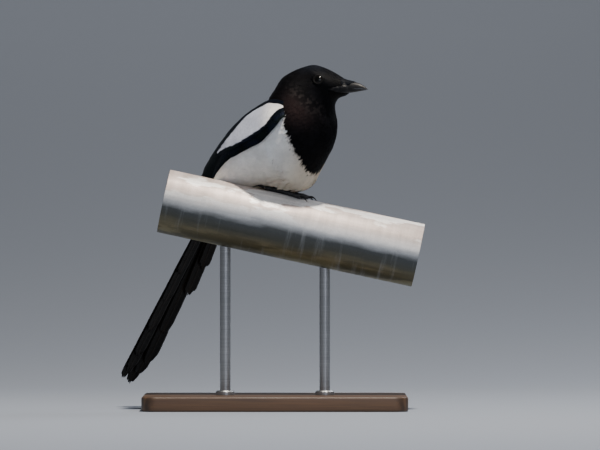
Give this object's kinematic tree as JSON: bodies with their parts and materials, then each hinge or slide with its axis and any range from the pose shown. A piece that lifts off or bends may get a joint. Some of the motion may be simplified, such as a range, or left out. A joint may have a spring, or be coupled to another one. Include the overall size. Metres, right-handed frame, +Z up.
{
  "type": "magpie model on pipe perch",
  "caption": "Life-size long-tailed black and white bird perched on a sloping cut length of pipe, held over a flat display base by two rods.",
  "frame": {"origin": "middle of the stand base's underside, which stands on the floor", "axes": "+Z up; +X the way the pipe runs down and the bird looks; -Y the side the picture shows"},
  "size_m": [0.2897, 0.1883, 0.3252],
  "materials": {
    "black_plumage": "glossy black feathers",
    "white_plumage": "soft white feathers",
    "bill_horn": "smooth horn, satin",
    "eye": "wet, high gloss",
    "leg_scales": "scaled horn, satin",
    "galvanised_steel": "weathered zinc",
    "plug_plastic": "matt",
    "stand_steel": "brushed",
    "stand_board": "satin lacquer"
  },
  "bodies": {
    "root": {"head": "black_plumage", "neck": "black_plumage", "torso": "white_plumage", "tail": "black_plumage", "wing_right": "black_plumage", "wing_left": "black_plumage", "thigh_right": "black_plumage", "thigh_left": "black_plumage", "bill_upper": "bill_horn", "bill_lower": "bill_horn", "eye_right": "eye", "eye_left": "eye", "foot_right": "leg_scales", "foot_left": "leg_scales", "claw_right_inner": "bill_horn", "claw_right_middle": "bill_horn", "claw_right_outer": "bill_horn", "claw_right_hind": "bill_horn", "claw_left_inner": "bill_horn", "claw_left_middle": "bill_horn", "claw_left_outer": "bill_horn", "claw_left_hind": "bill_horn", "perch_pipe": "galvanised_steel", "perch_plug_left": "plug_plastic", "perch_plug_right": "plug_plastic", "stand_base": "stand_board", "stand_rod_left": "stand_steel", "stand_rod_right": "stand_steel"}
  },
  "joints": []
}
